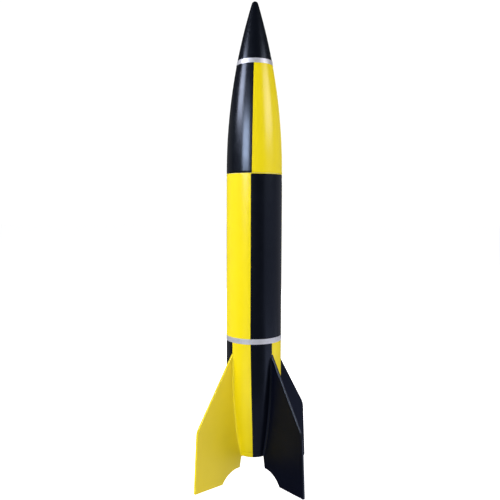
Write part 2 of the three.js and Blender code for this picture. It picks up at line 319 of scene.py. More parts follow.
# --- materials
class Finish:
    """A Principled material with helpers that add its pattern nodes."""

    def __init__(self, name, color, roughness, metallic=0.0, **values):
        self.material = bpy.data.materials.new(name)
        self.material.use_nodes = True
        self.nodes = self.material.node_tree.nodes
        self.links = self.material.node_tree.links
        self.shader = self.nodes["Principled BSDF"]
        self.set(self.shader, Base_Color=(*color, 1.0), Roughness=roughness, Metallic=metallic, **values)
        self.color = color
        self.roughness = roughness
        self.place = self.add("TexCoord").outputs["Object"]
        self.normal = None
        self.material.diffuse_color = (*color, 1.0)

    def set(self, node, **values):
        """Sets a node's sockets, named with underscores for spaces."""
        for socket, value in values.items():
            node.inputs[socket.replace("_", " ")].default_value = value

    def add(self, kind, place=None, **values):
        """A new node with its sockets set, and its vector taken from place."""
        node = self.nodes.new("ShaderNode" + kind)
        self.set(node, **values)
        if place:
            self.links.new(place, node.inputs["Vector"])
        return node

    def pattern(self, kind, scale, **values):
        """A pattern node with scale of its lumps to a metre, or with a scale for each axis."""
        place = self.place
        if isinstance(scale, tuple):
            place, scale = self.add("Mapping", place, Scale=scale).outputs["Vector"], 1.0
        return self.add(kind, place, Scale=scale, **values)

    def noise(self, scale, detail=2.0, distortion=0.0):
        return self.pattern("TexNoise", scale, Detail=detail, Distortion=distortion).outputs[0]

    def wave(self, direction, scale, distortion=0.0):
        node = self.pattern("TexWave", scale, Distortion=distortion, Detail=0.0)
        node.bands_direction = direction
        return node.outputs["Fac"]

    def math(self, operation, a, b=0.0):
        node = self.add("Math")
        node.operation = operation
        for socket, value in zip(node.inputs, (a, b)):
            if isinstance(value, float):
                socket.default_value = value
            else:
                self.links.new(value, socket)
        return node.outputs[0]

    def ramp(self, pattern, low, high, start=0.35, end=0.65):
        """The pattern spread between two values or two colours."""
        if isinstance(low, float):
            node = self.add("MapRange", From_Min=start, From_Max=end, To_Min=low, To_Max=high)
            self.links.new(pattern, node.inputs["Value"])
            return node.outputs["Result"]
        node = self.add("ValToRGB")
        for element, position, color in zip(node.color_ramp.elements, (start, end), (low, high)):
            element.position = position
            element.color = (*color, 1.0)
        self.links.new(pattern, node.inputs["Fac"])
        return node.outputs["Color"]

    def vary_color(self, pattern, spread):
        """The colour varies by spread, a share of itself."""
        low = tuple(c * (1 - spread) for c in self.color)
        high = tuple(min(1.0, c * (1 + spread)) for c in self.color)
        self.links.new(self.ramp(pattern, low, high), self.shader.inputs["Base Color"])

    def vary_roughness(self, pattern, spread):
        low, high = self.roughness - spread, self.roughness + spread
        self.links.new(self.ramp(pattern, low, high), self.shader.inputs["Roughness"])

    def bump(self, pattern, depth):
        """Raises the surface by the pattern; depth is in millimetres."""
        node = self.add("Bump", Strength=1.0, Distance=depth * MM)
        self.links.new(pattern, node.inputs["Height"])
        if self.normal:
            self.links.new(self.normal, node.inputs["Normal"])
        self.normal = node.outputs["Normal"]
        self.links.new(self.normal, self.shader.inputs["Normal"])

    def grained(self, color, roughness, *lumps):
        """Noises for the colour, the roughness and the surface, each a scale, a detail and an amount."""
        self.vary_color(self.noise(*color[:2]), color[2])
        self.vary_roughness(self.noise(*roughness[:2]), roughness[2])
        for scale, detail, depth in lumps:
            self.bump(self.noise(scale, detail), depth)
        return self.material


TUBE_YELLOW = (0.99, 0.80, 0.004)
YELLOW = (0.95, 0.76, 0.005)
# The yellow fins' flat sides get a darker, less saturated copy of the yellow paint: painted shade for faces
# turned away from the main light.
FIN_SHADED_YELLOW = (0.84, 0.65, 0.012)
BLACK = (0.0014, 0.0020, 0.0046)
# The black fins' flat sides get a lighter, bluer copy of the black paint: painted light for the light their
# faces catch.
FIN_LIT_BLACK = (0.0024, 0.0028, 0.0072)
BLUE_SHEEN = (0.70, 0.83, 1.0)
NAVY_SHEEN = (0.40, 0.60, 1.0)


def paint_finish(name, color, roughness=0.24, grain=0.0, gloss=0.5, sheen=(1.0, 1.0, 1.0)):
    """Satin spray paint: orange peel, faint cloudiness, and on a fin wood grain that shows through."""
    finish = Finish(name, color, roughness, Specular_IOR_Level=gloss, Specular_Tint=(*sheen, 1.0))
    cloudiness = 0.012 if max(color) > 0.1 else 0.1  # black needs more of itself to show any
    lumps = [(900.0, 1.0, 0.006), (60.0, 1.0, 0.01)]
    if grain:
        lumps.append(((900.0, 900.0, 60.0), 3.0, grain))
    return finish.grained((38.0, 3.0, cloudiness), (120.0, 3.0, 0.02), *lumps)


def foil_finish():
    """Aluminium tape: bright, softly rolled along its length, with small dents."""
    finish = Finish("silver_foil", (0.80, 0.81, 0.83), 0.42, 0.6)
    rolled = (120.0, 120.0, 2600.0), 2.0
    return finish.grained((300.0, 2.0, 0.05), (*rolled, 0.06), (*rolled, 0.008), (160.0, 2.0, 0.05))


def plastic_finish(name, color, roughness):
    """Moulded plastic: a fine even texture and faint flow marks."""
    finish = Finish(name, color, roughness)
    return finish.grained((25.0, 2.0, 0.03), (200.0, 3.0, 0.05), (1600.0, 2.0, 0.01))


def card_finish(name, color):
    """Wound card: fibres, flecks and the spiral joint between its strips."""
    strip = 48.0  # millimetres up the tube from one turn of the joint to the next
    finish = Finish(name, color, 0.82)
    fibres = (500.0, 500.0, 1500.0), 4.0
    finish.grained((*fibres, 0.14), (400.0, 3.0, 0.06), (*fibres, 0.03))
    split = finish.add("SeparateXYZ", finish.place)
    around = finish.math("ARCTAN2", split.outputs["X"], split.outputs["Y"])
    share = finish.math("DIVIDE", around, 2 * math.pi)
    climb = finish.math("MULTIPLY", split.outputs["Z"], 1.0 / (strip * MM))
    phase = finish.math("FRACT", finish.math("ADD", share, climb))
    off_seam = finish.math("ABSOLUTE", finish.math("SUBTRACT", phase, 0.5))
    seam = finish.math("LESS_THAN", off_seam, 0.006)
    finish.bump(finish.ramp(seam, 1.0, 0.0, 0.0, 1.0), 0.12)
    return finish.material


def plywood_finish():
    """Birch plywood: layers across its thickness and grain on its faces."""
    finish = Finish("plywood", (0.58, 0.40, 0.22), 0.66)
    grain = finish.noise((60.0, 900.0, 900.0), 5.0, 0.4)
    layers = finish.wave("Z", (1.0, 1.0, 330.0), 0.2)
    shares = finish.math("MULTIPLY", grain, 0.75), finish.math("MULTIPLY", layers, 0.25)
    finish.vary_color(finish.math("ADD", *shares), 0.22)
    finish.vary_roughness(grain, 0.06)
    finish.bump(grain, 0.05)
    finish.bump(layers, 0.05)
    return finish.material


def steel_finish():
    """Zinc plated steel with fine scratches."""
    finish = Finish("zinc_steel", (0.62, 0.63, 0.65), 0.32, 1.0)
    marks = (3000.0, 3000.0, 400.0), 3.0
    return finish.grained((500.0, 2.0, 0.08), (*marks, 0.08), (*marks, 0.01))


def pressed_finish(name, color, coarse):
    """Pressed clay or powder: grains and small pits."""
    finish = Finish(name, color, 0.9)
    finish.bump(finish.pattern("TexVoronoi", coarse).outputs["Distance"], 0.08)
    return finish.grained((coarse, 3.0, 0.2), (coarse * 0.5, 2.0, 0.05))


def nylon_finish():
    """Thin parachute nylon: a plain weave, small creases and a faint sheen."""
    finish = Finish("orange_nylon", (0.82, 0.15, 0.02), 0.5, Sheen_Weight=0.12, Sheen_Roughness=0.4)
    finish.bump(finish.math("MULTIPLY", finish.wave("X", 700.0), finish.wave("Z", 700.0)), 0.06)
    return finish.grained((60.0, 3.0, 0.1), (300.0, 2.0, 0.05), (260.0, 4.0, 0.5))


YELLOW_PAINT = paint_finish("yellow_paint", YELLOW, gloss=0.55)
TUBE_YELLOW_PAINT = paint_finish("tube_yellow_paint", TUBE_YELLOW, gloss=0.55)
BLACK_PAINT = paint_finish("black_paint", BLACK, gloss=0.75, sheen=BLUE_SHEEN)
# Copies of the paints for the fins' flat sides: the yellow carries painted shade, the black painted light.
FIN_SHADED_YELLOW_PAINT = paint_finish("fin_shaded_yellow_paint", FIN_SHADED_YELLOW, roughness=0.34, grain=0.03)
FIN_LIT_BLACK_PAINT = paint_finish("fin_lit_black_paint", FIN_LIT_BLACK, 0.36, 0.03, gloss=0.18, sheen=NAVY_SHEEN)
FOIL = foil_finish()
WHITE_PLASTIC = plastic_finish("white_plastic", (0.80, 0.79, 0.76), 0.42)
BLACK_PLASTIC = plastic_finish("black_plastic", (0.018, 0.018, 0.02), 0.45)
CARD = card_finish("kraft_card", (0.42, 0.27, 0.13))
WHITE_CARD = card_finish("white_card", (0.72, 0.70, 0.64))
PLYWOOD = plywood_finish()
STEEL = steel_finish()
CLAY = pressed_finish("pressed_clay", (0.42, 0.38, 0.33), 1500.0)
POWDER = pressed_finish("pressed_powder", (0.025, 0.024, 0.024), 2200.0)
NYLON = nylon_finish()


# --- painted body
def quarter(azimuth, line):
    """0 to 3: the quarter of the body that an azimuth lies in, counted from the front paint line."""
    return int(((azimuth - line) % 360) // 90)


def nose_shell():
    """The nose's wall. Its tip is black from the middle of the foil band up."""
    split = (NOSE_BAND[0] + NOSE_BAND[1]) / 2
    edge, soft = 0.5, 0.15
    base = [(TUBE_RADIUS - edge, NOSE_BOTTOM), (TUBE_RADIUS - soft, NOSE_BOTTOM + soft)]
    outside = nose_outline(0.0, NOSE_BOTTOM + edge, OGIVE_START, split)
    inside = nose_outline(NOSE_WALL, NOSE_BOTTOM, OGIVE_START)[::-1]

    def paint(label, azimuth, height):
        if label == "inside":
            return 2
        return 0 if height < split and quarter(azimuth, NOSE_LINE) % 2 == 0 else 1

    def drift(azimuth, height):
        return NOSE_LEAN * (height - NOSE_BOTTOM) / (NOSE_BAND[0] - NOSE_BOTTOM)

    stretches = [("base", base), ("outside", outside), ("inside", inside)]
    return turned(stretches, even_columns(start=NOSE_LINE), paint, drift=drift)


def add_nose():
    paints = [YELLOW_PAINT, BLACK_PAINT, WHITE_PLASTIC]
    add_piece("nose_shell", nose_shell(), paints, "nose", ["nose_cone"])
    add_foil("nose_foil_band", "nose_band", "nose", nose_radius)
    add_shoulder()
    bottom, top = heights("nose_weight")
    clear, crown = 0.3, 0.6
    side = [(nose_radius(z, NOSE_WALL + clear), z) for z in stations(bottom, top)]
    bm = turned([("weight", [(0.0, bottom), *side, (0.0, top + crown)])], closed=False)
    add_piece("nose_clay_weight", bm, [CLAY], "nose", ["nose_weight"])
    add_eye_bolt("nose", "nose", 1)


def add_shoulder():
    """The white shoulder: a tube with a closed base, a lead-in round its edge and a hole for the eye."""
    outer, bottom, top = girth("nose_shoulder")
    inner, floor, hole = outer - 1.3, bottom + 2.0, 1.5
    lead_in, rise = 1.2, 3.0
    corners = [
        (hole, bottom), (outer - lead_in, bottom), (outer, bottom + rise), (outer, top),
        (inner, top), (inner, floor), (hole, floor),
    ]
    add_ring(
        "nose_shoulder_shell", "nose_shoulder", corners, WHITE_PLASTIC, "nose", 0.5, COLUMNS
    )


def add_foil(name, node, body, radius_at):
    """A foil strip round the body, a little uneven, whose end laps over its start at the back."""
    low, high = heights(node)
    start, lap, climb = 168.0, 14.0, 3.0  # degrees: where it starts, its overlap, and its rise onto itself
    sides = 150
    edge = 0.06
    rows = []
    for i in range(sides + 1):
        turn = i / sides * (360.0 + lap)
        azimuth = start + turn
        over = min(max((turn - 360.0 + climb) / climb, 0.0), 1.0)
        ripple = 0.035 * noise.noise(Vector((azimuth * 0.11, 0.0, low)))
        wander = 0.12 * noise.noise(Vector((azimuth * 0.012, 3.0, low)))
        lift = BAND_LIFT + ripple + over * (BAND_THICKNESS + 0.02)
        z0, z1 = low + FOIL_TRIM[0] + wander, high - FOIL_TRIM[1] + wander
        inner = [(radius_at(z) + lift, z) for z in stations(z0, z1, step=1.2)]
        lift += BAND_THICKNESS
        outer = [(radius_at(z) + lift, z) for z in stations(z1 - edge, z0 + edge, step=1.2)]
        rows.append([point(azimuth, r, z) for r, z in inner + outer])
    add_piece(name, lofted(rows), [FOIL], body, [node])


def add_body_tube():
    """The tube's wall, the coupler inside its lower joint and the foil strip over that joint."""
    edge, soft = CARD_EDGE
    inner = TUBE_RADIUS - TUBE_WALL
    rows = stations(TUBE_BOTTOM + edge, TUBE_TOP - SPILL, TUBE_TOP - edge, step=12.0)
    outside = [(TUBE_RADIUS, z) for z in rows]
    top = [(TUBE_RADIUS - soft, TUBE_TOP - soft), (TUBE_RADIUS - edge, TUBE_TOP)]
    inside = [(inner, z) for z in stations(TUBE_TOP, TUBE_BOTTOM, step=12.0)]
    foot = [(TUBE_RADIUS - edge, TUBE_BOTTOM)]

    def paint(label, azimuth, height):
        if label == "inside":
            return 2
        spilled = label == "top" or height > TUBE_TOP - SPILL
        return 0 if spilled or quarter(azimuth, TUBE_LINE) % 2 == 1 else 1

    stretches = [("outside", outside), ("top", top), ("inside", inside), ("foot", foot)]
    bm = turned(stretches, even_columns(start=TUBE_LINE), paint)
    paints = [TUBE_YELLOW_PAINT, BLACK_PAINT, CARD]
    add_piece("body_tube_wall", bm, paints, "airframe", ["body_tube"])
    corners = tube_corners("tail_coupler", reach("tail_coupler") - 0.9)
    add_ring("tail_coupler_wall", "tail_coupler", corners, CARD, "airframe", 0.2, COLUMNS)
    add_foil("tail_foil_band", "tail_band", "airframe", lambda height: TUBE_RADIUS)


# --- tail
TAIL_LINES = sorted([TAIL_LINE + 90.0 * i for i in range(-1, 3)] + list(FIN_AZIMUTHS.values()))


def tail_columns():
    """(azimuth, offset) of each column: the offset in millimetres keeps a slot's sides parallel."""
    widest = 2.9
    columns = []
    for here, ahead in zip(TAIL_LINES, TAIL_LINES[1:] + [TAIL_LINES[0] + 360.0]):
        count = math.ceil((ahead - here) / widest)
        row = [(here + (ahead - here) * i / count, 0.0) for i in range(count)]
        if here in FIN_AZIMUTHS.values():
            row[1] = (here, SLOT_HALF)
        if ahead in FIN_AZIMUTHS.values() or ahead - 360.0 in FIN_AZIMUTHS.values():
            row[-1] = (ahead, -SLOT_HALF)
        columns += row
    return columns


def tail_is_yellow(azimuth):
    """The tail's eight segments alternate, with their lines at the fins and between them."""
    turn = (azimuth + 180.0) % 360.0 - 180.0
    return sum(turn > line for line in TAIL_LINES) % 2 == 1


def tail_drift(azimuth, height):
    """The paint lines between the fins lean, most at the bottom. The columns at the fins stay put."""
    gap = abs((azimuth - TAIL_LINE + 45.0) % 90.0 - 45.0)  # degrees to the nearest leaning line
    fades_out = 42.0
    fall = (TAIL_TOP - height) / (TAIL_TOP - TAIL_BOTTOM)
    return TAIL_LEAN * fall * max(0.0, 1.0 - gap / fades_out)


def tail_point(column, radius, height):
    azimuth, offset = column
    azimuth += tail_drift(azimuth, height) + math.degrees(math.asin(offset / radius))
    return point(azimuth, radius, height)


def add_boattail():
    """The tail's shell, with a real slot for each fin's tab and one material to each painted segment."""
    slot_bottom, slot_top = FIN_TAB[0] - SLOT_GAP, FIN_TAB[1] + SLOT_GAP
    levels = stations(TAIL_BOTTOM, slot_bottom, slot_top, TAIL_CURVE_TOP, TAIL_TOP)
    columns = tail_columns()
    count = len(columns)
    bm = bmesh.new()
    outer, inner = [
        [[bm.verts.new(tail_point(column, tail_radius(z) - inset, z)) for column in columns] for z in levels]
        for inset in (0.0, TUBE_WALL)
    ]

    def solid(i, k):
        """Whether the shell has a wall between levels i and i + 1 and columns k and k + 1."""
        if not 0 <= i < len(levels) - 1:
            return False
        here, ahead = columns[k % count], columns[(k + 1) % count]
        in_slot = here[1] < 0 or ahead[1] > 0
        middle = (levels[i] + levels[i + 1]) / 2
        return not (in_slot and slot_bottom < middle < slot_top)

    def colour(k, n):
        """The paint between two columns. A fin's three columns share one azimuth, its paint line."""
        (here, offset), (ahead, next_offset) = columns[k], columns[n]
        middle = here + 0.5 * ((ahead - here) % 360.0)
        if offset < 0:
            middle = here - 0.5
        if next_offset > 0:
            middle = ahead + 0.5
        return 0 if tail_is_yellow(middle) else 1

    for i in range(len(levels) - 1):
        for k in range(count):
            if not solid(i, k):
                continue
            n = (k + 1) % count
            face = bm.faces.new((outer[i][k], outer[i][n], outer[i + 1][n], outer[i + 1][k]))
            face.material_index = colour(k, n)
            face = bm.faces.new((inner[i][k], inner[i + 1][k], inner[i + 1][n], inner[i][n]))
            face.material_index = 2
            edges = {
                (i - 1, k): ((i, k), (i, n)),
                (i + 1, k): ((i + 1, k), (i + 1, n)),
                (i, k - 1): ((i, k), (i + 1, k)),
                (i, k + 1): ((i, n), (i + 1, n)),
            }
            for neighbour, ((a, b), (c, d)) in edges.items():
                if not solid(*neighbour):
                    bm.faces.new((outer[a][b], outer[c][d], inner[c][d], inner[a][b])).material_index = 2
    paints = [YELLOW_PAINT, BLACK_PAINT, WHITE_CARD]
    add_piece("boattail_shell", bm, paints, "airframe", ["boattail"])


def add_tail_ring():
    """The ring at the tail's open end."""
    low, high = TAIL_RING
    edge, soft = CARD_EDGE
    outside = [(tail_radius(z), z) for z in stations(low + edge, high - edge, step=1.5)]
    inside = [(tail_radius(z) - TAIL_RING_WALL, z) for z in stations(high, low, step=1.5)]
    top = [(tail_radius(high) - soft, high - soft), (tail_radius(high) - edge, high)]
    foot = [(tail_radius(low) - edge, low), (tail_radius(low) - soft, low + soft)]
    columns = [azimuth for azimuth, offset in tail_columns() if offset == 0.0]

    def paint(label, azimuth, height):
        return 0 if label != "inside" and tail_is_yellow(azimuth) else 1

    stretches = [("outside", outside), ("top", top), ("inside", inside), ("foot", foot)]
    bm = turned(stretches, columns, paint, drift=tail_drift)
    add_piece("tail_end_ring", bm, [YELLOW_PAINT, BLACK_PAINT], "airframe", ["tail_ring"])


# --- fins
def fin_outline():
    """(radius, height) round a fin, and how many of its edges from the start are free and rounded off."""
    top = (tail_radius(FIN_ROOT_TOP) + LIFT_OFF, FIN_ROOT_TOP)
    shoulder = Vector(FIN_SHOULDER)
    foot = Vector((FIN_TIP_RADIUS, 0.0))
    before = shoulder + (Vector(top) - shoulder).normalized() * FIN_SHOULDER_ROUND
    after = shoulder + (foot - shoulder).normalized() * FIN_SHOULDER_ROUND
    toe = [foot + Vector(step) for step in ((-0.15, 1.2), (-0.35, 0.35), (-1.2, 0.0))]
    cx, cz = FIN_CUTOUT_CENTRE
    first = math.asin(-cz / FIN_CUTOUT_ARC)
    last = math.acos((FIN_HEEL_RADIUS - cx) / FIN_CUTOUT_ARC)
    steps = 20
    angles = [first + (last - first) * i / steps for i in range(steps + 1)]
    cutout = [(cx + FIN_CUTOUT_ARC * math.cos(a), cz + FIN_CUTOUT_ARC * math.sin(a)) for a in angles]
    free = [top, *bend(before, shoulder, after, 8), *toe, *cutout]
    root = [(tail_radius(z) + LIFT_OFF, z) for z in stations(TAIL_RING[0], FIN_TAB[0])]
    tab = [(MOUNT_BORE, FIN_TAB[0]), (MOUNT_BORE, FIN_TAB[1])]
    upper = [(tail_radius(z) + LIFT_OFF, z) for z in stations(FIN_TAB[1], TAIL_CURVE_TOP)]
    return [tuple(place) for place in free + root + tab + upper], len(free) - 1


def across(azimuth, radius, side, height):
    """A place in metres at a radius along a fin's plane and side millimetres out of that plane."""
    angle = math.radians(azimuth)
    out = Vector((math.sin(angle), -math.cos(angle), 0.0))
    left = Vector((math.cos(angle), math.sin(angle), 0.0))
    return (out * radius + left * side + Vector((0.0, 0.0, height))) * MM


def add_fin(place, azimuth):
    """A fin with its free edges rounded off, and its two fillets."""
    outline, free = fin_outline()
    bm = bmesh.new()
    half = FIN_THICKNESS / 2
    sides = [[bm.verts.new(across(azimuth, r, s, z)) for r, z in outline] for s in (-half, half)]
    bm.faces.new(sides[0])
    bm.faces.new(sides[1][::-1])
    count = len(outline)
    for k in range(count):
        n = (k + 1) % count
        bm.faces.new((sides[0][k], sides[0][n], sides[1][n], sides[1][k]))
    bmesh.ops.recalc_face_normals(bm, faces=bm.faces)
    edges = [bm.edges.get((row[k], row[k + 1])) for row in sides for k in range(free)]
    bmesh.ops.bevel(bm, geom=edges, offset=FIN_EDGE_ROUND * MM, segments=4, affect="EDGES", profile=0.5)
    # The flat sides are duller than the rounded edges, which have the body's gloss and colour. The flat
    # sides' paint is painted shade on a yellow fin and painted light on a black one.
    flat = math.radians(5.0)
    out = across(azimuth, 0.0, 1.0, 0.0).normalized()
    for face in bm.faces:
        face.material_index = 0 if min(face.normal.angle(out), face.normal.angle(-out)) < flat else 1
    yellow = place.endswith("left")
    materials = [FIN_SHADED_YELLOW_PAINT, YELLOW_PAINT] if yellow else [FIN_LIT_BLACK_PAINT, BLACK_PAINT]
    add_piece(f"fin_panel_{place}", bm, materials, "airframe", [f"fin_{place}"], 40.0, True)
    for turn, word in SIDES:
        add_fillet(place, azimuth, turn, word)


def add_fillet(place, azimuth, turn, word):
    """A bead of filler in the corner between a fin and the tail, which runs out at the fin's top."""
    half = FIN_THICKNESS / 2
    slope = (FIN_SHOULDER[0] - TUBE_RADIUS) / (FIN_ROOT_TOP - FIN_SHOULDER[1])
    low, high = TAIL_RING[0] + 0.2, FIN_ROOT_TOP - 0.4
    fine = 8.0  # the last millimetres, where the bead runs out, have closer sections
    sections = []
    for z in [*stations(low, FIN_ROOT_TOP - fine), *stations(FIN_ROOT_TOP - fine + 0.5, high, step=0.6)]:
        r = tail_radius(z)
        bead = min(BEAD_RADIUS, 0.95 * slope * (FIN_ROOT_TOP - z), 0.4 + 0.9 * (z - low))
        centre = Vector((math.sqrt((r + bead) ** 2 - (half + bead) ** 2), half + bead))
        start = -math.pi / 2
        end = math.atan2(-centre.y, -centre.x)
        end = end - 2 * math.pi if end > start else end
        arc = bead_arc(centre, bead, start, end, 7)
        section = [across(azimuth, p.x, turn * p.y, z) for p in arc]
        corner = math.sqrt(r**2 - half**2)
        section.append(across(azimuth, corner - LIFT_OFF, turn * (half - LIFT_OFF), z))
        sections.append(section)
    material = YELLOW_PAINT if tail_is_yellow(azimuth + turn) else BLACK_PAINT
    name = f"fin_fillet_{place}_{word}"
    add_piece(name, lofted(sections), [material], "airframe", sharp=50.0)


# --- launch lugs
def add_lug(place):
    """A launch lug: a short black tube with bare card inside, glued to the body tube."""
    node = f"launch_lug_{place}"
    centre, outer, bottom, top = upright(node)
    inner = outer - 0.8
    bm = turned([("lug", rounded(wall_corners(inner, outer, bottom, top), 0.25))], 48)
    for face in bm.faces:
        middle = face.calc_center_median()
        bare = math.hypot(middle.x, middle.y) < (inner + 0.1) * MM
        face.material_index = 1 if bare else 0
    name = f"lug_tube_{place}"
    add_piece(name, moved_to(bm, centre), [BLACK_PAINT, CARD], "airframe", [node])
    for turn, word in SIDES:
        add_lug_glue(place, centre, outer, bottom, top, turn, word)


def add_lug_glue(place, centre, outer, bottom, top, turn, word):
    """A bead of glue in the corner between a lug and the body tube."""
    sections = []
    for z in stations(bottom + 0.3, top - 0.3, step=2.0):
        bead = min(BEAD_RADIUS, 0.6 + 0.9 * min(z - bottom, top - z))
        a, b = TUBE_RADIUS + bead, outer + bead
        at_axis = math.acos((centre.y**2 + a**2 - b**2) / (2 * centre.y * a))
        heart = Vector((a * math.sin(at_axis), a * math.cos(at_axis)))
        to_tube = math.atan2(-heart.y, -heart.x)
        to_lug = math.atan2(centre.y - heart.y, -heart.x)
        to_lug = to_lug - 2 * math.pi if to_lug > to_tube + math.pi else to_lug
        to_tube = to_tube + 2 * math.pi if to_tube < to_lug - math.pi else to_tube
        arc = bead_arc(heart, bead, to_tube, to_lug, 8)
        section = [Vector((turn * p.x, p.y, z)) * MM for p in arc]
        section.append(Vector((turn * LIFT_OFF, TUBE_RADIUS - LIFT_OFF, z)) * MM)
        sections.append(section)
    name = f"lug_glue_{place}_{word}"
    add_piece(name, lofted(sections), [BLACK_PAINT], "airframe", sharp=50.0)


# --- hardware and motor mount
def add_ring(name, node, corners, material, body, radius=0.2, columns=96):
    """A piece turned about the axis from corners, with its edges rounded off."""
    bm = turned([("ring", rounded(corners, radius))], columns)
    return add_piece(name, bm, [material], body, [node])


def tube_corners(node, inner):
    return wall_corners(inner, *girth(node))


def add_eye_bolt(prefix, body, up):
    """A bent wire eye, its shank, washer and nut. up is 1 or -1, the way the shank points."""
    low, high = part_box(f"{prefix}_eye_bolt")
    middle = (low + high) / 2 / MM
    ring, wire, groove, pitch = 4.5, 1.2, 0.2, 0.7
    first, last = (low.z, high.z) if up > 0 else (high.z, low.z)
    centre = first / MM + up * (ring + wire)
    end = last / MM
    # Round the eye from its open end, over into the shank, then up the shank in small steps.
    path = []
    for i in range(61):
        angle = math.radians(16 + 314 * i / 60)
        path.append((ring * math.sin(angle), centre + up * ring * math.cos(angle)))
    corner = Vector((-0.35, centre + up * (ring + 0.6)))
    neck = Vector((0.0, centre + up * (ring + 2.2)))
    path += [tuple(place) for place in bend(Vector(path[-1]), corner, neck, 8)[1:]]
    bare = len(path)
    step = 0.12
    start = path[-1][1]
    rise = abs(end - start)
    count = int(rise / step)
    path += [(0.0, start + up * rise * k / count) for k in range(1, count + 1)]

    def radius(i, angle):
        if i < bare + 6 or i > len(path) - 4:
            return wire - 0.12
        phase = (i - bare) * step / pitch - angle / (2 * math.pi)
        return wire - groove * abs(2 * (phase % 1.0) - 1)

    bm = swept([Vector((middle.x + x, middle.y, z)) * MM for x, z in path], radius)
    add_piece(f"{prefix}_bent_eye", bm, [STEEL], body, [f"{prefix}_eye_bolt"], sharp=60.0)
    add_fastener(f"{prefix}_eye_washer", f"{prefix}_flat_washer", 1.5, body)
    add_fastener(f"{prefix}_eye_nut", f"{prefix}_hex_nut", 1.25, body, hexagonal=True)


def add_fastener(node, name, inner, body, hexagonal=False):
    """A washer, or a hexagonal nut with its corners bevelled off at both ends."""
    centre, outer, bottom, top = upright(node)
    apothem = outer * math.cos(math.radians(30))
    shoulder, bevel, slope = apothem * 0.98, 0.6, 1.6

    def hexagon(label, azimuth, radius, height):
        if radius < apothem:
            return radius, height
        flat = apothem / math.cos(math.radians((azimuth % 60) - 30))
        near = min(height - bottom, top - height)
        return min(flat, apothem + near * slope + 0.1), height

    corners = wall_corners(inner, outer, bottom, top)
    if hexagonal:
        corners = [
            (inner, bottom), (shoulder, bottom), (outer, bottom + bevel),
            (outer, top - bevel), (shoulder, top), (inner, top),
        ]
    outline = rounded(corners, 0.12)
    bm = turned([("side", outline)], 72, shape=hexagon if hexagonal else None)
    add_piece(name, moved_to(bm, centre), [STEEL], body, [node])


def add_motor_mount():
    walls = (("motor_tube", "motor_tube_wall", 12.3), ("thrust_ring", "thrust_ring_card", 9.5))
    for node, name, inner in walls:
        add_ring(name, node, tube_corners(node, inner), CARD, "airframe")
    add_ply_ring("aft")
    add_ply_ring("middle")
    add_forward_ring()
    add_retainer_base()
    add_eye_bolt("anchor", "airframe", -1)


def add_ply_ring(place):
    node = f"{place}_centering_ring"
    corners = tube_corners(node, MOUNT_BORE)
    return add_ring(f"{place}_ply_ring", node, corners, PLYWOOD, "airframe", 0.15)


def add_forward_ring():
    """The forward ring, with a real hole for the anchor's shank."""
    ring = add_ply_ring("forward")
    low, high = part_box("anchor_eye_bolt")
    bottom, top = heights("forward_centering_ring")
    bore, length = 1.5 * MM, (top - bottom + 2) * MM
    matrix = Matrix.Translation(Vector((0.0, (low.y + high.y) / 2, (bottom + top) / 2 * MM)))
    bm = bmesh.new()
    bmesh.ops.create_cone(
        bm, cap_ends=True, segments=32, radius1=bore, radius2=bore, depth=length, matrix=matrix
    )
    drill = placed("drill", meshed("drill", bm))
    cut = ring.modifiers.new("anchor hole", "BOOLEAN")
    cut.operation = "DIFFERENCE"
    cut.object = drill
    cut.solver = "EXACT"
    depsgraph = bpy.context.evaluated_depsgraph_get()
    drilled = bpy.data.meshes.new_from_object(ring.evaluated_get(depsgraph))
    bpy.data.objects.remove(drill)
    ring.modifiers.clear()
    # The cut leaves a few faces with no width.
    bm = bmesh.new()
    bm.from_mesh(drilled)
    bmesh.ops.remove_doubles(bm, verts=bm.verts, dist=0.01 * MM)
    bmesh.ops.dissolve_degenerate(bm, edges=bm.edges, dist=0.01 * MM)
    bm.to_mesh(drilled)
    bm.free()
    drilled.set_sharp_from_angle(angle=math.radians(35))
    ring.data = drilled


def add_retainer_base():
    """The retainer's base: a coarse thread under a plain flange."""
    node = "retainer_base"
    outer, bottom, top = girth(node)
    pitch, depth, flange = 1.5, 0.45, 2.2
    outside = [(outer, z) for z in stations(bottom + 0.3, top - flange - 0.3, step=0.25)]
    rest = rounded([(outer, top - flange), (outer, top), (MOUNT_BORE, top), (MOUNT_BORE, bottom)], 0.3)

    def shape(label, azimuth, radius, height):
        if label != "thread":
            return radius, height
        phase = height / pitch - azimuth / 360.0
        return radius - depth * (0.5 + 0.5 * math.cos(2 * math.pi * phase)), height

    bm = turned([("thread", outside), ("flange", rest)], 96, shape=shape)
    name = "retainer_threaded_base"
    add_piece(name, bm, [BLACK_PLASTIC], "airframe", [node], sharp=50.0)


def add_cap():
    """The screw cap: a ribbed skirt and a lip that holds the motor in."""
    node = "retainer_cap"
    outer, bottom, top = girth(node)
    inner, mouth, lip = 15.5, 9.5, bottom + 1.8
    ribs, rib_depth, rim_depth = 28, 0.5, 0.25
    skirt = [(outer, z) for z in stations(bottom + 1.0, bottom + 1.8, top - 1.6, top - 0.8, step=1.0)]
    corners = [
        (outer - 0.3, top), (inner, top), (inner, lip),
        (mouth, lip), (mouth, bottom), (outer - 0.6, bottom),
    ]

    def shape(label, azimuth, radius, height):
        if label != "skirt":
            return radius, height
        if not bottom + 1.5 < height < top - 1.2:
            return radius - rim_depth, height
        return radius - rib_depth * (0.5 - 0.5 * math.cos(math.radians(azimuth) * ribs)) ** 2, height

    stretches = [("skirt", skirt), ("rest", rounded(corners, 0.35))]
    bm = turned(stretches, ribs * 8, shape=shape)
    name = "retainer_ribbed_cap"
    add_piece(name, bm, [BLACK_PLASTIC], "cap", [node], sharp=50.0)


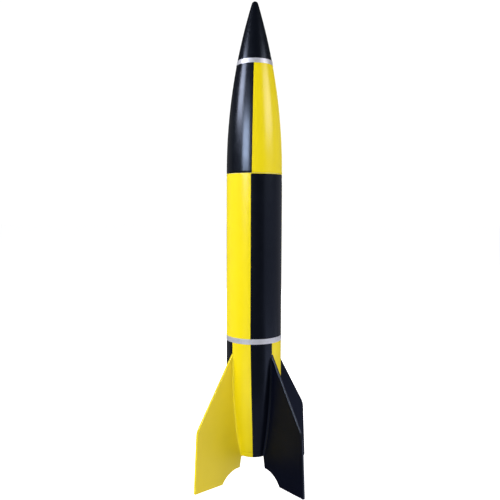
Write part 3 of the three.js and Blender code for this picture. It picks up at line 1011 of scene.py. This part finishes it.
# --- motor
def add_motor():
    corners = tube_corners("motor_case", reach("motor_case") - 3.2)
    add_ring("motor_wound_case", "motor_case", corners, CARD, "motor", 0.35)
    outer, low, high = girth("motor_nozzle")
    mouth, throat, flare_top = 5.0, 2.0, heights("motor_case")[0] + 7.0
    corners = [(mouth, low), (outer, low), (outer, high), (throat, high), (throat, flare_top)]
    add_ring("motor_clay_nozzle", "motor_nozzle", corners, CLAY, "motor", 0.4)
    add_plug("motor_grain", "propellant_grain", POWDER)
    add_plug("motor_delay", "delay_element", POWDER)
    add_plug("motor_charge", "ejection_charge", POWDER)
    add_plug("motor_clay_cap", "motor_end_cap", CLAY)


def add_plug(name, node, material):
    """A pressed plug with a shallow dish in its top."""
    radius, bottom, top = girth(node)
    dish = 0.25
    outline = rounded([(0.0, bottom), (radius, bottom), (radius, top), (0.0, top - dish)], 0.3)
    bm = turned([("plug", outline)], 96, closed=False)
    add_piece(name, bm, [material], "motor", [node])


# --- parachute
def remeshed(mesh, voxel):
    """A copy of a closed mesh with even faces, voxel metres wide."""
    source = placed("remesh source", mesh)
    modifier = source.modifiers.new("even faces", "REMESH")
    modifier.mode = "VOXEL"
    modifier.voxel_size = voxel
    seen = source.evaluated_get(bpy.context.evaluated_depsgraph_get())
    even = bpy.data.meshes.new_from_object(seen)
    bpy.data.objects.remove(source)
    return even


def puffed(mesh, cap, low, high):
    """Blows a closed mesh up as cloth. No point goes further than cap metres or out of the box."""
    start = [vertex.co.copy() for vertex in mesh.vertices]
    cloth = placed("cloth", mesh)
    settings = cloth.modifiers.new("cloth", "CLOTH").settings
    settings.quality = 6
    settings.mass = 0.2
    settings.tension_stiffness = 12.0
    settings.compression_stiffness = 12.0
    settings.bending_stiffness = 0.005
    settings.shrink_min = -0.3
    settings.use_pressure = True
    settings.uniform_pressure_force = 2.0
    settings.effector_weights.gravity = 0.0
    scene = bpy.context.scene
    for frame_number in range(1, 21):
        scene.frame_set(frame_number)
    moved = cloth.evaluated_get(bpy.context.evaluated_depsgraph_get()).data
    ends = []
    for before, vertex in zip(start, moved.vertices):
        step = vertex.co - before
        if step.length > cap:
            step *= cap / step.length
        ends.append(before + step)
    scene.frame_set(1)
    bpy.data.objects.remove(cloth)
    for vertex, end in zip(mesh.vertices, ends):
        across_axis = math.hypot(end.x, end.y)
        if across_axis > high.x:
            end.x *= high.x / across_axis
            end.y *= high.x / across_axis
        end.z = min(max(end.z, low.z), high.z)
        vertex.co = end


def add_parachute():
    """The canopy, folded into a strip and rolled: a spiral of layers at its ends and a loose outer flap."""
    low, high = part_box("parachute_pack")
    room = 1.0  # left for it to swell
    bottom, top, radius = low.z / MM + room, high.z / MM - room, high.x / MM - room
    layer, round_off = 3.8, 7.0
    foot = []
    for i in range(9):
        angle = math.radians(-90.0 + 90.0 * i / 8)
        foot.append((radius - round_off * (1 - math.cos(angle)), bottom + round_off * (1 + math.sin(angle))))
    head = [(r, top - (z - bottom)) for r, z in reversed(foot)]
    outline = [(r, bottom) for r in stations(0.0, radius - round_off, step=0.8)[:-1]]
    outline += foot + [(radius, z) for z in stations(bottom + round_off, top - round_off, step=1.6)[1:-1]]
    outline += head + [(r, top) for r in stations(radius - round_off, 0.0, step=0.8)[1:]]

    def shape(label, azimuth, r, z):
        here = point(azimuth, r, z)
        crease = abs(noise.noise(here * 130.0)) + 0.5 * abs(noise.noise(here * 290.0))
        # On the ends, a spiral groove between the layers.
        phase = (r / layer - azimuth / 360.0 + 0.3 * noise.noise(here * 45.0)) % 1.0
        groove = 1.0 - (1.0 - abs(2 * phase - 1)) ** 0.5
        on_end = min(1.0, max(0.0, 1.0 - min(z - bottom, top - z) / round_off))
        depth = on_end * (3.2 * groove + 1.8 * crease)
        up = 1 if z > (bottom + top) / 2 else -1
        # Round the side, long pleats, and the canopy's last edge, which lies proud.
        pleat = abs(noise.noise(Vector((here.x * 130.0, here.y * 130.0, z * 0.04))))
        flap = max(0.0, 1.0 - ((azimuth - 60.0 - 0.25 * z) % 360.0) / 20.0)
        inward = (r / radius) * (0.6 + 2.6 * pleat + 1.4 * crease - 1.6 * flap)
        return max(0.0, r - max(inward, 0.0)), z - up * depth

    bm = turned([("roll", outline)], 180, shape=shape, closed=False)
    roll = add_piece("parachute_roll", bm, [NYLON], "parachute", ["parachute_pack"], sharp=80.0)
    even = remeshed(roll.data, 1.1 * MM)
    puffed(even, 0.9 * MM, low, high)
    even.polygons.foreach_set("use_smooth", [True] * len(even.polygons))
    roll.data = even
    roll.modifiers.new("soft", "SUBSURF").render_levels = 1


# --- stage, light and camera
def panel(name, azimuth, elevation, width, height, radiance, color=(1.0, 1.0, 1.0), aim=0.42, distance=1.6):
    """A rectangular light, hidden from the camera, that faces the axis at the height aim.

    Its width and height are in degrees as seen from there, and aim and distance in metres.
    """
    light = bpy.data.lights.new(name, "AREA")
    light.shape = "RECTANGLE"
    light.size = 2 * distance * math.tan(math.radians(width / 2))
    light.size_y = 2 * distance * math.tan(math.radians(height / 2))
    light.energy = radiance * math.pi * light.size * light.size_y
    light.color = color
    lamp = placed(name, light)
    a, e = math.radians(azimuth), math.radians(elevation)
    away = Vector((math.sin(a) * math.cos(e), -math.cos(a) * math.cos(e), math.sin(e)))
    lamp.location = Vector((0.0, 0.0, aim)) + away * distance
    lamp.rotation_euler = away.to_track_quat("Z", "Y").to_euler()
    lamp.visible_camera = False
    return lamp


def soft_fill(name, *place, **more):
    """A wide soft light that lifts the shade and leaves no highlight."""
    panel(name, *place, aim=0.1, **more).visible_glossy = False


def add_floor():
    """A pale floor that stays white under the camera and lets the low lights through."""
    bm = bmesh.new()
    bmesh.ops.create_circle(bm, cap_ends=True, segments=96, radius=12.0)
    mesh = meshed("pale_floor", bm)
    white, glow = (1.0, 1.0, 1.0, 1.0), 0.95
    finish = Finish("pale_floor", (0.9, 0.9, 0.9), 0.9, Emission_Color=white, Emission_Strength=glow)
    finish.vary_roughness(finish.noise(20.0), 0.03)
    mesh.materials.append(finish.material)
    floor = placed("pale_floor", mesh)
    floor.visible_glossy = False
    floor.visible_diffuse = False
    floor.visible_shadow = False


def add_world():
    """A white backdrop that lights the rocket only faintly, as paper does outside the lamps' light."""
    world = bpy.data.worlds.new("backdrop")
    world.use_nodes = True
    nodes, links = world.node_tree.nodes, world.node_tree.links
    seen, fill = nodes["Background"], nodes.new("ShaderNodeBackground")
    for node, color, strength in ((seen, (1.0, 1.0, 1.0), 1.05), (fill, (0.92, 0.94, 1.0), 0.06)):
        node.inputs["Color"].default_value = (*color, 1.0)
        node.inputs["Strength"].default_value = strength
    mix = nodes.new("ShaderNodeMixShader")
    links.new(nodes.new("ShaderNodeLightPath").outputs["Is Camera Ray"], mix.inputs[0])
    links.new(fill.outputs[0], mix.inputs[1])
    links.new(seen.outputs[0], mix.inputs[2])
    links.new(mix.outputs[0], nodes["World Output"].inputs["Surface"])
    bpy.context.scene.world = world
    bpy.context.scene.view_settings.view_transform = "Standard"


def add_lights():
    """Softboxes leave the highlights, glows are their dimmer surroundings, and fills only lift the shade."""
    panel("left_softbox", -31.4, 10.4, 26.0, 14.5, 11.4, (0.96, 1.0, 1.18))
    panel("far_left_softbox", -66.4, 25.0, 26.0, 17.0, 9.1, (1.03, 1.0, 1.14))
    panel("right_softbox", 69.6, 22.0, 33.0, 20.0, 4.1, (1.04, 1.0, 1.1))
    panel("rear_softbox", 180.0, 15.0, 34.0, 30.0, 1.5)
    panel("right_glow", 75.0, -2.0, 60.0, 24.0, 0.13, (1.0, 1.0, 1.35), aim=0.2)
    panel("low_right_glow", 85.0, -24.0, 60.0, 24.0, 0.6, (1.0, 1.0, 1.3), aim=0.1)
    panel("rear_right_glow", 130.0, 2.0, 50.0, 44.0, 0.13, (1.0, 1.0, 1.25), aim=0.2)
    panel("rear_left_glow", -125.0, 2.0, 50.0, 44.0, 0.08, aim=0.2)
    panel("floor_glow", 4.6, -50.0, 100.0, 50.0, 0.1, (1.0, 1.0, 1.5), aim=0.1, distance=0.6)
    soft_fill("left_fill", -100.0, 10.0, 70.0, 60.0, 1.15)
    soft_fill("front_fill", 15.0, 15.0, 60.0, 50.0, 0.15)
    soft_fill("right_fill", 90.0, 5.0, 70.0, 60.0, 1.1)
    soft_fill("rear_fill", 180.0, 15.0, 80.0, 60.0, 1.2)
    soft_fill("low_fill", 0.0, -20.0, 80.0, 24.0, 1.85, distance=1.0)


CAMERA_AZIMUTH = 4.6
CAMERA_DISTANCE = 0.71695  # from the rocket's axis, in metres
CAMERA_HEIGHT = 0.3259
CAMERA_PITCH = -3.99
CAMERA_YAW = 0.395
CAMERA_ROLL = 0.18
CAMERA_LENS = 43.06


def add_camera():
    data = bpy.data.cameras.new("camera")
    data.lens = CAMERA_LENS
    data.sensor_width = 36.0
    camera = placed("camera", data)
    a = math.radians(CAMERA_AZIMUTH)
    camera.location = (CAMERA_DISTANCE * math.sin(a), -CAMERA_DISTANCE * math.cos(a), CAMERA_HEIGHT)
    aim = Matrix.Rotation(a + math.radians(CAMERA_YAW), 4, "Z")
    tilt = Matrix.Rotation(math.radians(90 + CAMERA_PITCH), 4, "X")
    roll = Matrix.Rotation(math.radians(CAMERA_ROLL), 4, "Z")
    camera.rotation_euler = (aim @ tilt @ roll).to_euler()
    bpy.context.scene.camera = camera


add_camera()
add_world()
add_lights()
add_floor()
add_nose()
add_body_tube()
add_boattail()
add_tail_ring()
for fin_place, fin_azimuth in FIN_AZIMUTHS.items():
    add_fin(fin_place, fin_azimuth)
add_lug("lower")
add_lug("upper")
add_motor_mount()
add_cap()
add_motor()
add_parachute()

bpy.context.view_layer.update()
